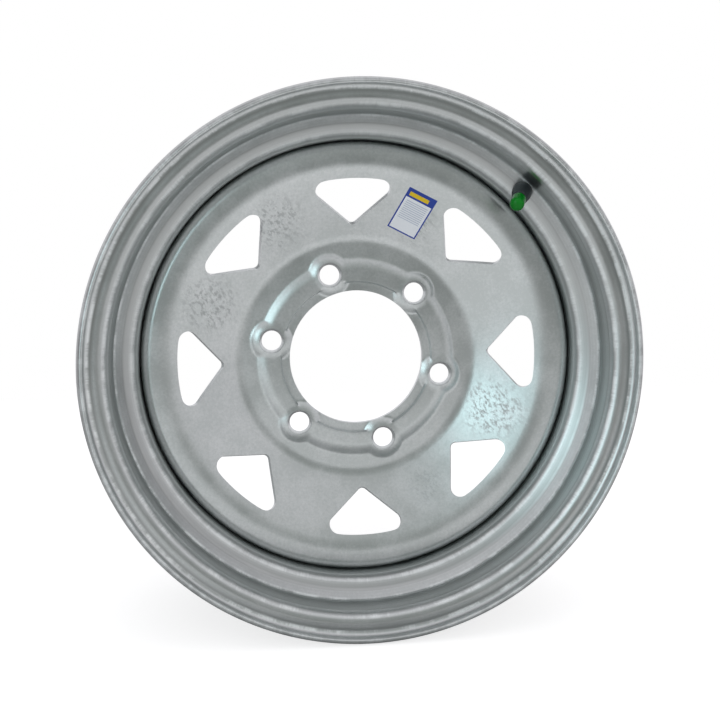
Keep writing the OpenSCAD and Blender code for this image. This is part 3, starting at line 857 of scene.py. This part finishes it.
class RIM_OT_valve(bpy.types.Operator):
    """Spin the valve's rubber body and finish its brass stem"""
    bl_idname = "rim.valve"
    bl_label = "Valve body and stem"

    def execute(self, context):
        v = context.scene.valve_sizes
        sag = context.scene.barrel_sizes.wall_sag
        wall = context.scene.barrel_sizes.sheet + sag
        finishes = context.scene.finishes
        place = valve_place(context.scene)
        neck = v.hole_radius - v.fit
        narrowing = 3 * MM
        # Bend radii of the rubber, from its foot to its free end
        foot_round, heel_round = 1.5 * MM, 1.8 * MM
        collar_round, waist_round, end_round = 0.5 * MM, 2 * MM, 1 * MM
        rubber = rounded_outline([
            (v.tube_radius, -wall - v.foot_length, 0),
            (v.foot_radius - narrowing, -wall - v.foot_length, foot_round),
            (v.foot_radius, -wall - v.foot_length / 3, foot_round),
            (v.foot_radius, -wall - v.fit, heel_round),
            (neck, -wall - v.fit, 0),
            (neck, v.fit - sag, 0),
            (v.collar_radius, v.fit - sag, collar_round),
            (v.collar_radius, v.body_length / 3, waist_round),
            (v.body_end_radius, v.body_length, end_round),
            (v.tube_radius, v.body_length, 0)])
        body = spin("rubber_body", rubber, SMALL_STEPS)
        settle(body, place)
        smooth(body)
        finish_piece(body, moulded_rubber("valve_rubber", finishes), "valve_rubber", WHEEL_BODY, "valve_body")
        dress_node("valve_stem", turned_metal("turned_brass", finishes.brass, 0.28))
        return {"FINISHED"}


class RIM_OT_core(bpy.types.Operator):
    """Wind the core's spring and finish the valve core inside the stem"""
    bl_idname = "rim.core"
    bl_label = "Valve core"

    def execute(self, context):
        finishes = context.scene.finishes
        plated = turned_metal("plated_steel", finishes.plated, 0.22)
        dress_node("core_housing", turned_metal("core_brass", finishes.brass, 0.24))
        dress_node("core_pin", plated)
        self.wind_spring(context.scene, plated)
        dress_node("core_gasket", moulded_gasket(finishes))
        seal = moulded_rubber("seal_rubber", finishes)
        dress_node("core_seal", seal)
        dress_node("cap_seal", seal)
        return {"FINISHED"}

    def wind_spring(self, scene, plated):
        """Winds the core's spring at its rest length; the mesh doesn't shorten as the pin is pushed."""
        v = scene.valve_sizes
        deselect()
        bpy.ops.mesh.primitive_circle_add(vertices=WIRE_SIDES, radius=v.spring_wire / 2)
        coil = bpy.context.object
        coil.name = coil.data.name = "wound_spring"
        start = Matrix.Translation((v.spring_radius, 0, v.spring_foot + v.spring_wire / 2))
        settle(coil, start @ UPRIGHT)
        pitch = (v.spring_length - v.spring_wire) / v.spring_turns
        apply_modifier(coil, "SCREW", steps=COIL_STEPS, render_steps=COIL_STEPS, iterations=v.spring_turns,
                       screw_offset=pitch)
        bpy.ops.object.mode_set(mode="EDIT")
        bpy.ops.mesh.select_all(action="SELECT")
        bpy.ops.mesh.fill_holes(sides=0)
        bpy.ops.mesh.normals_make_consistent(inside=False)
        bpy.ops.object.mode_set(mode="OBJECT")
        place = valve_place(scene)
        settle(coil, place)
        smooth(coil)
        finish_piece(coil, plated, "core_steel", WHEEL_BODY, "core_spring")
        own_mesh(coil)


class RIM_OT_cap(bpy.types.Operator):
    """Finish the dust cap"""
    bl_idname = "rim.cap"
    bl_label = "Valve cap"

    def execute(self, context):
        dress_node("valve_cap", moulded_cap(context.scene.finishes))
        return {"FINISHED"}


class RIM_OT_label(bpy.types.Operator):
    """Lay the printed paper label on the cone"""
    bl_idname = "rim.label"
    bl_label = "Label"

    def execute(self, context):
        d = context.scene.disc_sizes
        s = context.scene.label_sizes
        deselect()
        bpy.ops.mesh.primitive_grid_add(x_subdivisions=36, y_subdivisions=24, size=1, calc_uvs=True)
        label = context.object
        label.name = label.data.name = "paper_label"
        around = Matrix.Rotation(s.place, 4, "Z")
        spread = Matrix.Diagonal((s.height, s.width, 1, 1))
        settle(label, around @ on_cone(d, s.radius) @ Matrix.Rotation(s.turn, 4, "Z") @ spread)
        settle(label, UPRIGHT)
        apply_modifier(label, "SHRINKWRAP", target=bpy.data.objects[DISC], wrap_method="PROJECT",
                       use_project_y=True, use_negative_direction=True, use_positive_direction=True,
                       wrap_mode="ABOVE_SURFACE", offset=s.lift)
        apply_modifier(label, "SOLIDIFY", thickness=s.paper, offset=1)
        smooth(label)
        finish_piece(label, printed_label(context.scene.finishes), "label_paper", WHEEL_BODY, "label")
        return {"FINISHED"}


class StageSizes(bpy.types.PropertyGroup):
    """Camera and light of the stage."""
    azimuth: angle("Azimuth", "Camera's turn about the wheel", -7.089)
    elevation: angle("Elevation", "Camera's height above the horizon", 7.007)
    roll: angle("Roll", "Camera's roll", -0.164)
    distance: length("Distance", "Camera's distance from its target", 767.6)
    target_x: length("Target x", "Camera target across the wheel", 3.4)
    target_z: length("Target z", "Camera target above the axle", -3.02)
    floor: length("Floor", "Side of the square floor", 2200)
    lens: bpy.props.FloatProperty(name="Lens", description="Focal length", default=47.043, unit="CAMERA")
    key_power: wattage("Key", "Power of the key light", 2.2)
    top_power: wattage("Top", "Power of the top light", 11)
    fill_power: wattage("Fill", "Power of the fill light", 8)


def soft_light(name, place, size, power, rgb, reflected):
    """A square soft box aimed at the axle; one that isn't reflected lights only what is matt."""
    data = bpy.data.lights.new(name, "AREA")
    data.size = size
    data.energy = power
    data.color = rgb
    lamp = bpy.data.objects.new(name, data)
    lamp.location = place
    lamp.rotation_mode = "QUATERNION"
    lamp.rotation_quaternion = (-Vector(place)).to_track_quat("-Z", "Y")
    lamp.visible_glossy = reflected
    bpy.context.scene.collection.objects.link(lamp)


class RIM_OT_stage(bpy.types.Operator):
    """Set the floor, backdrop, soft light and camera"""
    bl_idname = "rim.stage"
    bl_label = "Stage"

    def execute(self, context):
        scene = context.scene
        s = scene.stage_sizes
        scene.view_settings.view_transform = "Standard"
        level = math.cos(s.elevation)
        back = Vector((math.sin(s.azimuth) * level, -math.cos(s.azimuth) * level, math.sin(s.elevation)))
        data = bpy.data.cameras.new("camera")
        data.lens = s.lens
        data.sensor_width = SENSOR
        camera = bpy.data.objects.new("camera", data)
        camera.location = Vector((s.target_x, 0, s.target_z)) + back * s.distance
        camera.rotation_mode = "QUATERNION"
        camera.rotation_quaternion = (-back).to_track_quat("-Z", "Y") @ Quaternion((0, 0, 1), s.roll)
        scene.collection.objects.link(camera)
        scene.camera = camera
        self.floor(scene)
        self.surroundings(scene)
        # Places and sizes of the lights are in metres
        soft_light("key_light", (-0.9, -1.2, 0.27), 0.62, s.key_power, scene.finishes.key, True)
        soft_light("top_light", (0.1, -0.5, 2.0), 1.6, s.top_power, (1, 1, 1), False)
        soft_light("fill_light", (0.35, -1.7, 0.5), 1.2, s.fill_power, (1, 1, 1), False)
        return {"FINISHED"}

    def floor(self, scene):
        """A pale floor at the wheel's lowest point, which keeps the soft shadow."""
        deselect()
        bpy.ops.mesh.primitive_plane_add(size=scene.stage_sizes.floor, location=(0, 0, CAD_BOX[0][2]))
        floor = bpy.context.object
        floor.name = "floor"
        material, tree, shader = new_material("pale_floor")
        shader.inputs["Base Color"].default_value = solid(scene.finishes.floor)
        shader.inputs["Roughness"].default_value = 0.9
        shader.inputs["Specular IOR Level"].default_value = 0.0
        ray = add_node(tree, "ShaderNodeLightPath").node.outputs
        shader.inputs["Emission Color"].default_value = (1, 1, 1, 1)
        # The floor in front of the wheel shows brighter in the zinc than the floor under it
        near, far, mirror_lift, camera_lift = -0.11, -0.31, 0.34, 0.72
        ahead = add_node(tree, SPLIT, [add_node(tree, PLACE, output="Object")], output=1)
        ahead = add_node(tree, RANGE, [ahead, near, far, 0.0, mirror_lift], **SOFT)
        mirrored = add_node(tree, MATH, [ray["Is Glossy Ray"], ahead], operation="MULTIPLY")
        lift = add_node(tree, MATH, [ray["Is Camera Ray"], camera_lift, mirrored], operation="MULTIPLY_ADD")
        tree.links.new(lift, shader.inputs["Emission Strength"])
        floor.data.materials.append(material)

    def surroundings(self, scene):
        """A white backdrop that dims to grey behind the camera, as a studio does."""
        world = bpy.data.worlds.new("studio")
        scene.world = world
        world.use_nodes = True
        tree = world.node_tree
        tree.nodes.clear()
        where = add_node(tree, PLACE, output="Object")
        onward = add_node(tree, SPLIT, [where], output=1)
        upward = add_node(tree, SPLIT, [where], output=2)
        finishes = scene.finishes
        front, side = -0.94, -0.6
        aside = add_node(tree, RANGE, [onward, front, side, 0.0, 1.0], **SOFT)
        tint = add_node(tree, MIX, {0: aside, 6: solid(finishes.room_front), 7: solid(finishes.room_side)},
                        **COLOURS)
        front_level, side_gain = 0.27, 0.45
        level = add_node(tree, MATH, [aside, side_gain, front_level], operation="MULTIPLY_ADD")
        # Each change of level: its direction, where it starts and ends, and its amount. The walls beside
        # the wheel are dim, and the backdrop behind it and the room above the horizon are bright
        changes = (
            (onward, -0.5, -0.25, -0.5),
            (onward, 0.1, 0.6, 0.6),
            (upward, -0.05, 0.15, 0.15),
            (upward, 0.5, 0.9, 0.1))
        for direction, start, end, amount in changes:
            part = add_node(tree, RANGE, [direction, start, end, 0.0, amount], **SOFT)
            level = add_node(tree, MATH, [level, part], operation="ADD")
        room = add_node(tree, "ShaderNodeBackground", [tint, level])
        white = add_node(tree, "ShaderNodeBackground", [(1, 1, 1, 1), 1.0])
        seen = add_node(tree, "ShaderNodeLightPath", output="Is Camera Ray")
        add_node(tree, "ShaderNodeOutputWorld", [add_node(tree, "ShaderNodeMixShader", [seen, room, white])])


class RIM_PT_panel(bpy.types.Panel):
    """Lists the pieces of the wheel rim"""
    bl_label = "Wheel rim"
    bl_idname = "RIM_PT_panel"
    bl_space_type = "VIEW_3D"
    bl_region_type = "UI"
    bl_category = "Wheel rim"

    def draw(self, context):
        for operator in OPERATORS:
            self.layout.operator(operator.bl_idname)


OPERATORS = (RIM_OT_stage, RIM_OT_barrel, RIM_OT_disc, RIM_OT_welds, RIM_OT_valve, RIM_OT_core, RIM_OT_cap,
             RIM_OT_label)
GROUPS = {"barrel_sizes": BarrelSizes, "disc_sizes": DiscSizes, "valve_sizes": ValveSizes,
          "label_sizes": LabelSizes, "stage_sizes": StageSizes, "finishes": Finishes}


def register():
    for cls in (*GROUPS.values(), *OPERATORS, RIM_PT_panel):
        bpy.utils.register_class(cls)
    for name, cls in GROUPS.items():
        setattr(bpy.types.Scene, name, bpy.props.PointerProperty(type=cls))


def unregister():
    for name in GROUPS:
        delattr(bpy.types.Scene, name)
    for cls in (RIM_PT_panel, *reversed(OPERATORS), *reversed(GROUPS.values())):
        bpy.utils.unregister_class(cls)


def main():
    register()
    bpy.ops.rim.stage()
    bpy.ops.rim.barrel()
    bpy.ops.rim.disc()
    bpy.ops.rim.welds()
    bpy.ops.rim.valve()
    bpy.ops.rim.core()
    bpy.ops.rim.cap()
    bpy.ops.rim.label()


if __name__ == "__main__":
    main()
